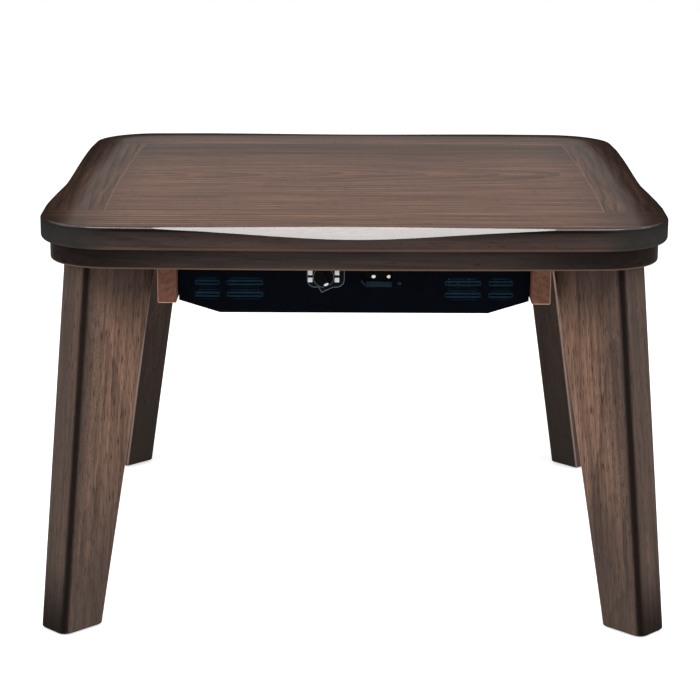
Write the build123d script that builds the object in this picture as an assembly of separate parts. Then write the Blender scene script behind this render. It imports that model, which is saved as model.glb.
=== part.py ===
from build123d import *
import os
from math import atan2, cos, degrees, hypot, radians, sin, sqrt

os.makedirs("parts", exist_ok=True)

# ---------------------------------------------------------------- driving dimensions, mm
# Loose table top
top_width = 600.0              # across the middle of two opposite sides
table_height = 396.0
top_thickness = 22.0
side_bulge = 8.0               # how far a side's middle stands out over half the width
corner_radius = 68.0
top_upper_round = 2.0
top_lower_round = 5.0
scoop_half_length = 215.0
scoop_depth = 10.0             # down the side face, and as much inwards
edge_board_front = 84.0        # width of the front and rear edge boards
edge_board_side = 58.0         # width of the left and right edge boards
spline_thickness = 5.0
spline_width = 24.0
spline_end_gap = 34.0          # from a spline's end to the corner of the field

# Rim frame
rim_inset = 8.5
rim_thickness = 19.0
rim_board = 70.0
rim_round = 2.5
dowel_radius = 4.0
dowel_length = 30.0
dowel_offsets = (8.0, 46.0)    # from the inner edge of a side board outwards
block_gap = 1.4                # between a corner block and a corner of the heater housing
pad_radius = 8.0
pad_thickness = 3.0

# Legs, measured outwards along the diagonal from the corner of the rim's opening
leg_thickness = 40.0
leg_top_inset = -28.7
leg_top_outset = 56.8
leg_foot_inset = 48.3
leg_foot_outset = 95.8
leg_outer_round = 10.0
leg_inner_round = 3.0
foot_chamfer = 1.5
glide_radius = 11.0
glide_thickness = 4.0
glide_stand = 1.0              # height of the glide below the foot

# Leg bolts
bolt_radius = 3.0
bolt_insets = (-15.2, 31.8)    # along the diagonal, from the corner of the rim's opening
bolt_depth = 24.0              # below the top of the leg
bolt_head_radius = 5.5
bolt_head_height = 3.8
bolt_head_round = 1.2
washer_radius = 7.0
washer_thickness = 1.6
counterbore_radius = 7.5
counterbore_depth = 8.0
insert_radius = 5.0
insert_length = 20.0
thread_clearance = 0.05
key_radius = 2.3               # hexagonal socket in a bolt head
key_depth = 2.2
bolt_gap = 0.4                 # round a loose shank, head or bush

# Cross rails
rail_thickness = 18.0
rail_height = 43.0
rail_setback = 53.5            # rail end to the rim's outline
rail_leg_gap = 1.0             # between a rail and the inner corner of a leg's top
rail_round = 1.5
rail_screw_radius = 2.2
rail_screw_head_radius = 4.0
rail_screw_head_height = 3.0
rail_counterbore = 12.0
rail_screw_grip = 14.0         # in the rim board

# Heater housing
rail_gap = 1.0                 # between the housing and a rail
heater_setback = 2.5           # front face to the rim's opening
heater_rear = 159.0            # rear face to the middle of the table
heater_top_gap = 7.0           # between the housing and the loose top
heater_drop = 56.0             # below the rim
shoulder_rise = 12.0           # height of the sloped lower corners
shoulder_run = 39.0
sheet = 1.5
control_depth = 60.0           # front compartment, with its bulkhead
flange_length = 310.0
flange_overlap = 17.5          # on the rail
heater_screw_radius = 2.0
heater_screw_head_radius = 4.0
heater_screw_head_height = 2.4
heater_screw_head_round = 1.2
heater_screw_length = 18.0
heater_screw_inset = 35.0

# Vent windows
vent_height = 10.2
vent_gap = 1.3
vent_floor = 12.2              # above the bottom of the housing
vent_side = 15.0               # between an outer window and the side of the housing
vent_outer_width = 24.0
vent_inner_width = 35.3
vent_bar = 6.4                 # between the windows of a pair
louvre_thickness = 2.0
louvre_margin = 1.5
louvre_slot = 1.2
louvre_slots = 3

# Dial and thermostat
dial_x = -29.0
dial_drop = 20.0               # centre of the dial below the rim
bezel_width = 36.0
bezel_height = 30.0
bezel_round = 8.0
bezel_thickness = 2.5
bezel_chamfer = 0.8
bezel_shift = 2.1              # centre of the bezel to the right of the dial's
bezel_rise = 4.1               # centre of the bezel above the dial's
bezel_hole = 7.0
lip_width = 14.0
lip_height = 5.2
lip_shift = -4.1               # point of the lip to the right of the bezel's centre
mark_circle = 13.2
mark_size = 4.4                # square marks
mark_round = 0.5
mark_spread = 210.0            # from the first mark to the last, degrees
mark_thickness = 0.3
mark_count = 8
dial_sweep = 310.0             # from off to the last mark, degrees
dial_radius = 10.0
dial_skirt = 3.0
dial_grip_width = 6.0
dial_grip_height = 7.0
dial_gap = 0.5
dial_edge = 0.5                # skirt left beyond the ends of the grip
dial_grip_round = 2.0
dial_round = 0.7
pointer_width = 4.8
pointer_height = 2.4
pointer_reach = 6.2            # from the dial's axis to the middle of its pointer
shaft_cover = 2.0              # plastic left in front of the shaft
shaft_depth = 14.0             # shaft end behind the panel
bush_radius = 4.5
bush_stand = 2.5
shaft_radius = 3.0
shaft_fit = 0.05
thermostat_size = 27.0
thermostat_depth = 22.0
nut_across = 10.0
nut_thickness = 2.0

# Power inlet
inlet_left = 6.5
inlet_width = 30.0
inlet_height = 20.0
inlet_drop = 11.0              # top of the recess below the rim
inlet_chamfer = 5.0
inlet_depth = 14.0
inlet_wall = 2.5
inlet_ledge = 2.6              # rise of the recess's sloping floor, front to rear
inlet_back = 6.0
pin_radius = 2.35
pin_nose = 1.2
pin_pitch = 14.7
pin_offset = 4.5               # pair's centre to the right of the recess's centre
pin_setback = 3.0
pin_tail = 5.0
pin_tail_radius = 1.8          # behind the floor of the recess
inlet_screw_radius = 1.2
inlet_screw_head_radius = 1.8
inlet_screw_head_height = 1.2
inlet_screw_gap = 6.7
inlet_screw_drop = 5.8

# Heating compartment
reflector_side_gap = 14.0      # to the sides of the housing
reflector_end_gap = 13.5       # to the rear of the housing
reflector_skirt = 16.0
reflector_sheet = 1.0
spacer_radius = 4.0
spacer_height = 12.5
spacer_inset = 22.0
reflector_screw_radius = 1.5
reflector_screw_head_radius = 3.0
tube_radius = 6.0
tube_wall = 1.2
tube_end_gap = 25.0            # from a tube's end to the edge of the reflector
tube_spread = 62.0             # distance of a tube from the middle
tube_drop = 20.0               # centre line of a tube below the reflector
coil_gap = 0.3                 # between a coil and its tube
coil_inset = 7.0               # from a tube's end to the end of its coil
cap_radius = 8.0
cap_length = 16.0
bracket_thickness = 1.2
bracket_width = 22.0
wire = 2.0
wire_pitch = 12.0
wire_margin = 6.0
shoulder_share = 0.6           # first wire up a shoulder, in pitches from its lower edge
guard_bars = 4
strip_height = 8.0
rivet_radius = 1.6
rivet_head = 0.8
rivet_head_radius = 2.5
rivet_inset = 30.0

# Small electrical pieces in the control compartment
cutout_radius = 8.0
cutout_height = 9.0
cutout_shift = 34.0            # cut-out's middle to the terminal block's
terminal_inset = 11.5          # terminal block to the end of the housing's flat floor
terminal_width = 40.0
terminal_height = 18.0
terminal_depth = 16.0
terminal_back = 12.0           # gap from the terminal block to the bulkhead
terminal_ways = 4
terminal_screw_radius = 2.2
terminal_screw_height = 1.5
terminal_edge = 0.5
lead_radius = 1.3
lead_bend = 3.5
lead_step = 6.0                # between neighbouring runs
lead_reaches = (8.0, 13.0)     # the heater's two supply leads, beyond the tube caps
behind_gap = 13.5              # last lead in front of the bulkhead
grommet_width = 12.0
grommet_height = 6.0

# ---------------------------------------------------------------- levels and places worked out
half = top_width / 2
bulge_radius = (half**2 + side_bulge**2) / (2 * side_bulge)
top_floor = table_height - top_thickness
rim_floor = top_floor - rim_thickness
rim_half = half - rim_inset
rim_opening = rim_half - rim_board
opening_corner = rim_opening * sqrt(2)
leg_top_inner = opening_corner + leg_top_inset
leg_top_outer = opening_corner + leg_top_outset
leg_foot_inner = opening_corner + leg_foot_inset
leg_foot_outer = opening_corner + leg_foot_outset
bolt_places = [opening_corner + inset for inset in bolt_insets]
rail_half_length = rim_half - rail_setback
heater_front = rim_opening - heater_setback
foot_floor = glide_stand
rail_outer = (leg_top_inner - leg_thickness / 2) / sqrt(2) - rail_leg_gap
rail_inner = rail_outer - rail_thickness
rail_middle = rail_outer - rail_thickness / 2
rail_floor = rim_floor - rail_height
rail_screw_y = (rim_opening + rail_half_length) / 2
heater_half_width = rail_inner - rail_gap
block_leg = 2 * rim_opening - heater_half_width - heater_front - block_gap * sqrt(2)
heater_floor = rim_floor - heater_drop
heater_roof = top_floor - heater_top_gap
vent_outer = (heater_half_width - vent_side - vent_outer_width, heater_half_width - vent_side)
vent_inner = (vent_outer[0] - vent_bar - vent_inner_width, vent_outer[0] - vent_bar)
panel_back = -heater_front + sheet
bulkhead_y = -heater_front + control_depth
chamber_middle = (bulkhead_y + heater_rear) / 2
flange_middle = (heater_rear - heater_front) / 2
dial_z = rim_floor - dial_drop
dial_off = dial_sweep - mark_spread / 2
bezel_z = dial_z + bezel_rise
inlet_top = rim_floor - inlet_drop
inlet_middle = inlet_left + inlet_width / 2
inlet_z = inlet_top - inlet_height / 2
pin_places = [inlet_middle + pin_offset + side * pin_pitch / 2 for side in (-1, 1)]
reflector_top = heater_roof - sheet - spacer_height
reflector_half_length = heater_half_width - sheet - reflector_side_gap
reflector_half_depth = heater_rear - sheet - chamber_middle - reflector_end_gap
tube_half_length = reflector_half_length - tube_end_gap
coil_half_length = tube_half_length - coil_inset
tube_z = reflector_top - tube_drop
vent_base = heater_floor + vent_floor
foot_middle = (leg_foot_inner + leg_foot_outer) / 2
inlet_back_wall = -heater_front + inlet_depth
inlet_rear = inlet_back_wall + inlet_back
inlet_screw_place = (inlet_left + inlet_width + inlet_screw_gap, inlet_z - inlet_screw_drop)
bush_front = -heater_front - bush_stand
dial_front = -heater_front - bezel_thickness - dial_gap - dial_skirt - dial_grip_height
cap_end = tube_half_length + cap_length / 2
lead_x = [cap_end + reach for reach in lead_reaches]
terminal_x = heater_half_width - shoulder_run - terminal_inset - terminal_width / 2
cutout_x = terminal_x - cutout_shift
terminal_y = bulkhead_y - sheet - terminal_back - terminal_depth / 2
cutout_back = bulkhead_y - sheet
cutout_front = cutout_back - cutout_height
cutout_middle = cutout_back - cutout_height / 2
behind = bulkhead_y - sheet - behind_gap
guard_ends = (bulkhead_y + wire_margin, heater_rear - sheet - wire_margin)
rivet_places = (guard_ends[0] + rivet_inset, guard_ends[1] - rivet_inset)
guard_floor = heater_floor + shoulder_rise + sheet
rivet_z = guard_floor + strip_height / 2

written = []


def save(name, shapes):
    """Write one node: a single solid, or separate solids kept side by side."""
    solids = []
    for shape in shapes if isinstance(shapes, list) else [shapes]:
        solids.extend(shape.solids())
    node = solids[0] if len(solids) == 1 else Compound(children=solids)
    export_step(node, f"parts/{name}.step")
    written.append(name)


def block(x_range, y_range, z_range):
    """An upright box between the given limits."""
    ranges = (x_range, y_range, z_range)
    sizes = [high - low for low, high in ranges]
    centre = [(high + low) / 2 for low, high in ranges]
    return Pos(*centre) * Box(*sizes)


def rod(radius, start, end):
    """A round bar between two points."""
    line = Vector(*end) - Vector(*start)
    return Plane(origin=start, z_dir=line) * extrude(Circle(radius), line.length)


def along_y(face, front, rear):
    """Run a face, drawn as x and z, from front to rear."""
    return Plane(origin=(0, rear, 0), x_dir=(1, 0, 0), z_dir=(0, -1, 0)) * extrude(face, rear - front)


def quarter_turn(turns):
    return Rot(0, 0, 90 * turns)


def corner_turn(quarter):
    """From the diagonal's own frame to one corner: rear right, rear left, front left, front right."""
    return Rot(0, 0, 45 + 90 * quarter)


# ---------------------------------------------------------------- loose top
def bulged_face(inset):
    """The table's outline, set in all round: four flat arcs with rounded corners."""
    reach = half - inset
    arc = bulge_radius - inset
    centre = reach - arc
    corner = (centre + sqrt(2 * arc**2 - centre**2)) / 2
    side = ThreePointArc((-corner, corner), (0, reach), (corner, corner))
    face = make_face(Curve() + [quarter_turn(turns) * side for turns in range(4)])
    return fillet(face.vertices(), corner_radius - inset)


def slab(inset, floor, thickness):
    return Pos(0, 0, floor) * extrude(bulged_face(inset), thickness)


def side_drop(along):
    """How far the outline falls back at a distance from a side's middle."""
    return bulge_radius - sqrt(bulge_radius**2 - along**2)


def scoop():
    """Cutter for the hollow in the front's upper edge: a bell-shaped curve run through at 45 degrees."""
    arris = Plane(origin=(0, -half, table_height), x_dir=(1, 0, 0), z_dir=(0, 1, 1))
    deepest = scoop_depth / sqrt(2)
    waist = scoop_half_length / 2
    end = (scoop_half_length, side_drop(scoop_half_length) / sqrt(2))
    middle = (waist, side_drop(waist) / sqrt(2) + deepest / 2)
    points = [(-end[0], end[1]), (-middle[0], middle[1]), (0, deepest), middle, end]
    bell = Spline(*points, tangents=((1, 0), (1, 0)))
    clear = 3 * scoop_depth
    back = Polyline(end, (end[0], -clear), (-end[0], -clear), points[0])
    return arris * extrude(make_face(Curve() + [bell, back]), clear, both=True)


def top_blank():
    blank = slab(0, top_floor, top_thickness)
    blank = fillet(blank.edges().group_by(Axis.Z)[-1], top_upper_round)
    blank = fillet(blank.edges().group_by(Axis.Z)[0], top_lower_round)
    for turns in range(4):
        blank -= quarter_turn(turns) * scoop()
    return blank


def inside_side(turns, board):
    """Everything on the inner side of the joint along one side: front, right, rear, left."""
    disc = Cylinder(bulge_radius - board, 4 * top_thickness)
    return quarter_turn(turns) * Pos(0, bulge_radius - half, table_height) * disc


def top_spline(turns, board, next_board):
    """A loose tongue half in the field and half in an edge board."""
    reach = half - next_board - spline_end_gap
    place = half - board - side_drop(reach) / 2
    level = top_floor + top_thickness / 2
    x_range = (-reach, reach)
    y_range = (-place - spline_width / 2, -place + spline_width / 2)
    z_range = (level - spline_thickness / 2, level + spline_thickness / 2)
    return quarter_turn(turns) * block(x_range, y_range, z_range)


def make_top():
    blank = top_blank()
    splines = [top_spline(turns, edge_board_front, edge_board_side) for turns in (0, 2)]
    splines += [top_spline(turns, edge_board_side, edge_board_front) for turns in (1, 3)]
    for spline in splines:
        blank -= spline
    front, rear = [inside_side(turns, edge_board_front) for turns in (0, 2)]
    right, left = [inside_side(turns, edge_board_side) for turns in (1, 3)]
    middle = blank & front & rear
    save("top_field", middle & left & right)
    save("top_edge_front", blank - front)
    save("top_edge_rear", blank - rear)
    save("top_edge_left", middle - left)
    save("top_edge_right", middle - right)
    save("top_splines", splines)


# ---------------------------------------------------------------- rim frame
def leg_bolt_cut(place):
    """Clearance hole and counterbore for one leg bolt, on the diagonal."""
    hole = rod(bolt_radius + bolt_gap, (place, 0, rim_floor), (place, 0, top_floor))
    return hole + rod(counterbore_radius, (place, 0, top_floor - counterbore_depth), (place, 0, top_floor))


def bolt_cuts():
    return [corner_turn(quarter) * leg_bolt_cut(place) for quarter in range(4) for place in bolt_places]


def rail_screw_places():
    return [(x * rail_middle, y * rail_screw_y) for x in (-1, 1) for y in (-1, 1)]


def dowels():
    """Two across each joint between a side board and the front or rear board."""
    level = rim_floor + rim_thickness / 2
    bars = []
    for x_side in (-1, 1):
        for y_side in (-1, 1):
            for offset in dowel_offsets:
                x = x_side * (rim_opening + offset)
                ends = [y_side * (rim_opening + way * dowel_length / 2) for way in (-1, 1)]
                bars.append(rod(dowel_radius, (x, ends[0], level), (x, ends[1], level)))
    return bars


def corner_block(quarter):
    """Triangle glued into the rim's inner corner, over the inner half of a leg."""
    far, near = rim_opening, rim_opening - block_leg
    face = make_face(Polyline((far, far), (near, far), (far, near), close=True))
    return quarter_turn(quarter) * Pos(0, 0, rim_floor) * extrude(face, rim_thickness)


def top_pad(turns):
    place = (0, -(rim_half - rim_board / 2), top_floor)
    return quarter_turn(turns) * rod(pad_radius, (place[0], place[1], top_floor - pad_thickness), place)


def make_rim():
    blank = slab(rim_inset, rim_floor, rim_thickness)
    blank = fillet(blank.edges().group_by(Axis.Z)[0], rim_round)
    opening = (-rim_opening, rim_opening)
    full = (-half, half)
    level = (rim_floor, top_floor)
    blank -= block(opening, opening, level)
    pads = [top_pad(turns) for turns in range(4)]
    bars = dowels()
    for cut in bolt_cuts() + pads + bars:
        blank -= cut
    for x, y in rail_screw_places():
        grip = rim_floor + rail_screw_grip
        blank -= rod(rail_screw_radius + thread_clearance, (x, y, rim_floor), (x, y, grip))
    save("rim_front", blank & block(full, (-half, -rim_opening), level))
    save("rim_rear", blank & block(full, (rim_opening, half), level))
    save("rim_left", blank & block((-half, -rim_opening), opening, level))
    save("rim_right", blank & block((rim_opening, half), opening, level))
    blocks = [corner_block(quarter) for quarter in range(4)]
    for cut in bolt_cuts():
        blocks = [wedge - cut for wedge in blocks]
    save("corner_blocks", blocks)
    save("rim_dowels", bars)
    save("top_pads", pads)


# ---------------------------------------------------------------- legs
def leg_section(inner, outer, level):
    face = Rectangle(outer - inner, leg_thickness)
    face = fillet(face.vertices().group_by(Axis.X)[-1], leg_outer_round)
    face = fillet(face.vertices().group_by(Axis.X)[0], leg_inner_round)
    return Pos((inner + outer) / 2, 0, level) * face


def leg():
    """One tapered plank in the diagonal's frame, with its bolt holes and glide pocket."""
    foot = leg_section(leg_foot_inner, leg_foot_outer, foot_floor)
    top = leg_section(leg_top_inner, leg_top_outer, rim_floor)
    plank = loft([foot, top])
    plank = chamfer(plank.edges().group_by(Axis.Z)[0], foot_chamfer)
    plank -= rod(glide_radius, (foot_middle, 0, 0), (foot_middle, 0, glide_thickness))
    for place in bolt_places:
        end = rim_floor - bolt_depth - bolt_gap
        plank -= rod(insert_radius, (place, 0, rim_floor - insert_length), (place, 0, rim_floor))
        plank -= rod(bolt_radius + bolt_gap, (place, 0, end), (place, 0, rim_floor))
    return plank


def leg_bolt(place):
    seat = top_floor - counterbore_depth + washer_thickness
    crown = seat + bolt_head_height
    shank = rod(bolt_radius, (place, 0, rim_floor - bolt_depth), (place, 0, seat))
    head = rod(bolt_head_radius, (place, 0, seat), (place, 0, crown))
    key = Pos(place, 0, crown - key_depth) * extrude(RegularPolygon(key_radius, 6), key_depth)
    return shank + fillet(head.edges().group_by(Axis.Z)[-1], bolt_head_round) - key


def ring(outer, inner, floor, ceiling, place):
    low, high = (place, 0, floor), (place, 0, ceiling)
    return rod(outer, low, high) - rod(inner, low, high)


def make_legs():
    names = ("leg_rear_right", "leg_rear_left", "leg_front_left", "leg_front_right")
    plank = leg()
    for quarter, name in enumerate(names):
        save(name, corner_turn(quarter) * plank)
    glide = rod(glide_radius, (foot_middle, 0, 0), (foot_middle, 0, glide_thickness))
    seat = top_floor - counterbore_depth
    crown = seat + washer_thickness
    loose, threaded = bolt_radius + bolt_gap, bolt_radius + thread_clearance
    washer = [ring(washer_radius, loose, seat, crown, place) for place in bolt_places]
    sleeve_floor = rim_floor - insert_length
    sleeve = [ring(insert_radius, threaded, sleeve_floor, rim_floor, place) for place in bolt_places]
    save("leg_bolts", [corner_turn(q) * leg_bolt(place) for q in range(4) for place in bolt_places])
    save("leg_washers", [corner_turn(q) * piece for q in range(4) for piece in washer])
    save("leg_inserts", [corner_turn(q) * piece for q in range(4) for piece in sleeve])
    save("leg_glides", [corner_turn(q) * glide for q in range(4)])


# ---------------------------------------------------------------- cross rails
def heater_screw_places():
    reach = flange_length / 2 - heater_screw_inset
    return [(x * rail_middle, flange_middle + y * reach) for x in (-1, 1) for y in (-1, 1)]


def cross_rail(side):
    x_range = sorted((side * rail_inner, side * (rail_inner + rail_thickness)))
    rail = block(x_range, (-rail_half_length, rail_half_length), (rail_floor, rim_floor))
    rail = fillet(rail.edges(), rail_round)
    for x, y in rail_screw_places():
        seat = rail_floor + rail_counterbore
        rail -= rod(rail_screw_head_radius + bolt_gap, (x, y, rail_floor), (x, y, seat))
        rail -= rod(rail_screw_radius + thread_clearance, (x, y, seat), (x, y, rim_floor))
    for x, y in heater_screw_places():
        end = rim_floor + sheet - heater_screw_length
        rail -= rod(heater_screw_radius + thread_clearance, (x, y, end), (x, y, rim_floor))
    return rail


def rail_screw(x, y):
    seat = rail_floor + rail_counterbore
    head = rod(rail_screw_head_radius, (x, y, seat - rail_screw_head_height), (x, y, seat))
    return head + rod(rail_screw_radius, (x, y, seat), (x, y, rim_floor + rail_screw_grip))


def heater_screw(x, y):
    seat = rim_floor + sheet
    head = rod(heater_screw_head_radius, (x, y, seat), (x, y, seat + heater_screw_head_height))
    head = fillet(head.edges().group_by(Axis.Z)[-1], heater_screw_head_round)
    return head + rod(heater_screw_radius, (x, y, seat - heater_screw_length), (x, y, seat))


def make_rails():
    save("cross_rail_left", cross_rail(-1))
    save("cross_rail_right", cross_rail(1))
    save("rail_screws", [rail_screw(x, y) for x, y in rail_screw_places()])
    save("heater_screws", [heater_screw(x, y) for x, y in heater_screw_places()])


# ---------------------------------------------------------------- heater housing
def housing_face(inset):
    """The housing's section: a box with sloped lower corners, set in by a wall."""
    flat = heater_half_width - shoulder_run
    shoulder = heater_floor + shoulder_rise
    right = [(flat, heater_floor), (heater_half_width, shoulder), (heater_half_width, heater_roof)]
    left = [(-x, z) for x, z in reversed(right)]
    face = make_face(Polyline(*right, *left, close=True))
    return offset(face, amount=-inset, kind=Kind.INTERSECTION) if inset else face


def vent_windows(margin, slots):
    """Outlines of the vent windows, or of the slots behind them."""
    faces = []
    for low, high in (vent_inner, vent_outer):
        for row in range(2):
            base = vent_base + row * (vent_height + vent_gap)
            for slot in range(slots):
                height = vent_height if slots == 1 else louvre_slot
                level = base + (slot + 0.5) * vent_height / slots
                shape = SlotOverall(high - low - 2 * margin, height)
                faces += [Pos(side * (low + high) / 2, level) * shape for side in (-1, 1)]
    return faces


def inlet_face():
    """The recess of the power inlet, with one lower corner cut off."""
    low, high = inlet_top - inlet_height, inlet_top
    right = inlet_left + inlet_width
    points = [(inlet_left + inlet_chamfer, low), (right, low), (right, high)]
    points += [(inlet_left, high), (inlet_left, low + inlet_chamfer)]
    return make_face(Polyline(*points, close=True))


def heater_housing():
    shell = along_y(housing_face(0), -heater_front, heater_rear)
    inner = housing_face(sheet)
    shell -= along_y(inner, panel_back, heater_rear - sheet)
    wide = (-heater_half_width, heater_half_width)
    shell -= block(wide, (bulkhead_y, heater_rear - sheet), (heater_floor, guard_floor))
    for window in vent_windows(0, 1):
        shell -= along_y(window, -heater_front, panel_back)
        shell -= along_y(window, heater_rear - sheet, heater_rear)
    dial_hole = Pos(dial_x, dial_z) * Circle(bush_radius + bolt_gap)
    screw_hole = Pos(*inlet_screw_place) * Circle(inlet_screw_radius + thread_clearance)
    for opening in (inlet_face(), dial_hole, screw_hole):
        shell -= along_y(opening, -heater_front, panel_back)
    y_range = (flange_middle - flange_length / 2, flange_middle + flange_length / 2)
    for side in (-1, 1):
        edges = sorted((side * (heater_half_width - sheet), side * (rail_inner + flange_overlap)))
        shell += block(edges, y_range, (rim_floor, rim_floor + sheet))
        for strip_y in rivet_places:
            ends = [(side * x, strip_y, rivet_z) for x in (heater_half_width - sheet, heater_half_width)]
            shell -= rod(rivet_radius, *ends)
    for x, y in heater_screw_places():
        shell -= rod(heater_screw_radius + thread_clearance, (x, y, rim_floor), (x, y, rim_floor + sheet))
    for x, y in spacer_places():
        hole = reflector_screw_radius + thread_clearance
        shell -= rod(hole, (x, y, heater_roof - sheet), (x, y, heater_roof))
    return shell


def bulkhead():
    wall = along_y(housing_face(sheet), bulkhead_y - sheet, bulkhead_y)
    return wall - along_y(grommet_face(), bulkhead_y - sheet, bulkhead_y)


def louvre_plate(side, front):
    edges = sorted((side * (vent_inner[0] - louvre_margin), side * (vent_outer[1] + louvre_margin)))
    levels = (vent_base - louvre_margin, vent_base + 2 * vent_height + vent_gap + louvre_margin)
    plate = block(edges, (front, front + louvre_thickness), levels)
    for slot in vent_windows(louvre_margin, louvre_slots):
        plate -= along_y(slot, front, front + louvre_thickness)
    return plate


def make_housing():
    save("heater_housing", heater_housing())
    save("heater_bulkhead", bulkhead())
    fronts = (panel_back, heater_rear - sheet - louvre_thickness)
    save("vent_louvres", [louvre_plate(side, front) for side in (-1, 1) for front in fronts])


# ---------------------------------------------------------------- dial and thermostat
def bezel():
    """Rounded plate round the dial, with a pointed lower lip."""
    middle = dial_x + bezel_shift
    plate = Pos(middle, bezel_z) * RectangleRounded(bezel_width, bezel_height, bezel_round)
    edge = bezel_z - bezel_height / 2
    corners = [(middle - lip_width / 2, edge), (middle + lip_shift, edge - lip_height)]
    corners += [(middle + lip_width / 2, edge), (middle, edge + lip_height)]
    plate += make_face(Polyline(*corners, close=True))
    plate -= Pos(dial_x, dial_z) * Circle(bezel_hole)
    plate = along_y(plate, -heater_front - bezel_thickness, -heater_front)
    front = plate.faces().sort_by(Axis.Y)[0]
    return chamfer(front.outer_wire().edges(), bezel_chamfer)


def dial_mark(index):
    """One upright square of the ring of marks, which runs clockwise round the top of the dial."""
    angle = radians(90 + mark_spread / 2 - index * mark_spread / (mark_count - 1))
    place = Pos(dial_x + mark_circle * cos(angle), dial_z + mark_circle * sin(angle))
    front = -heater_front - bezel_thickness
    return along_y(place * RectangleRounded(mark_size, mark_size, mark_round), front - mark_thickness, front)


def at_dial(shape):
    """From the dial's own frame, pointer up, to the off position, turned anticlockwise."""
    return Pos(dial_x, 0, dial_z) * Rot(0, -dial_off, 0) * shape


def dial():
    back = -heater_front - bezel_thickness - dial_gap
    skirt = along_y(Circle(dial_radius), back - dial_skirt, back)
    skirt = fillet(skirt.edges().group_by(Axis.Y)[0], dial_round)
    grip = RectangleRounded(dial_grip_width, 2 * (dial_radius - dial_edge), dial_grip_round)
    skirt += along_y(grip, dial_front, back - dial_skirt / 2)
    return skirt - rod(shaft_radius, (0, dial_front + shaft_cover, 0), (0, back, 0))


def dial_pointer():
    spot = Pos(0, pointer_reach) * Ellipse(pointer_width / 2, pointer_height / 2)
    return along_y(spot, dial_front - mark_thickness, dial_front)


def thermostat():
    reach = thermostat_size / 2
    y_range = (panel_back, panel_back + thermostat_depth)
    case = block((dial_x - reach, dial_x + reach), y_range, (dial_z - reach, dial_z + reach))
    case = fillet(case.edges().filter_by(Axis.Y), 2 * sheet)
    case += rod(bush_radius, (dial_x, bush_front, dial_z), (dial_x, panel_back + sheet, dial_z))
    bore_end = panel_back + shaft_depth + bolt_gap
    return case - rod(shaft_radius + shaft_fit, (dial_x, bush_front, dial_z), (dial_x, bore_end, dial_z))


def thermostat_nut():
    hexagon = RegularPolygon(nut_across / sqrt(3), 6) - Circle(bush_radius + thread_clearance)
    return along_y(Pos(dial_x, dial_z) * hexagon, -heater_front - nut_thickness, -heater_front)


def make_dial():
    save("dial_bezel", bezel())
    save("dial_marks", [dial_mark(index) for index in range(mark_count)])
    save("dial", at_dial(dial()))
    save("dial_pointer", at_dial(dial_pointer()))
    shaft_end = panel_back + shaft_depth
    save("dial_shaft", at_dial(rod(shaft_radius, (0, dial_front + shaft_cover, 0), (0, shaft_end, 0))))
    save("thermostat", thermostat())
    save("thermostat_nut", thermostat_nut())


# ---------------------------------------------------------------- power inlet and wiring
def inlet_socket():
    floor, right = inlet_top - inlet_height, inlet_left + inlet_width
    z_range = (floor - inlet_wall, inlet_top + inlet_wall)
    body = block((inlet_left - inlet_wall, right + inlet_wall), (panel_back, inlet_rear), z_range)
    screw_x, screw_z = inlet_screw_place
    ear = screw_x + 2 * inlet_screw_head_radius
    body += block((right, ear), (panel_back, panel_back + 2 * sheet), z_range)
    body -= along_y(inlet_face(), panel_back, inlet_back_wall)
    hole = Pos(screw_x, screw_z) * Circle(inlet_screw_radius + thread_clearance)
    body -= along_y(hole, panel_back, panel_back + 2 * sheet)
    wedge = [(panel_back, floor), (inlet_back_wall, floor), (inlet_back_wall, floor + inlet_ledge)]
    ledge = Plane(origin=(inlet_left + inlet_chamfer, 0, 0), x_dir=(0, 1, 0), z_dir=(1, 0, 0))
    body += ledge * extrude(make_face(Polyline(*wedge, close=True)), inlet_width - inlet_chamfer)
    for x in pin_places:
        body -= rod(pin_tail_radius, (x, inlet_back_wall, inlet_z), (x, inlet_rear, inlet_z))
    return body


def inlet_pin(x):
    pin = rod(pin_radius, (x, -heater_front + pin_setback, inlet_z), (x, inlet_back_wall, inlet_z))
    pin = fillet(pin.edges().group_by(Axis.Y)[0], pin_nose)
    return pin + rod(pin_tail_radius, (x, inlet_back_wall, inlet_z), (x, inlet_rear + pin_tail, inlet_z))


def inlet_screw():
    x, z = inlet_screw_place
    front = -heater_front - inlet_screw_head_height
    head = rod(inlet_screw_head_radius, (x, front, z), (x, -heater_front, z))
    return head + rod(inlet_screw_radius, (x, -heater_front, z), (x, panel_back + 2 * sheet, z))


def terminal_place(way):
    """Where a lead meets the terminal block, counted from the left."""
    return terminal_x + (way - (terminal_ways - 1) / 2) * terminal_width / terminal_ways


def lead(*points):
    path = FilletPolyline(*points, radius=lead_bend)
    return sweep(Plane(origin=path @ 0, z_dir=path % 0) * Circle(lead_radius), path)


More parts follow.
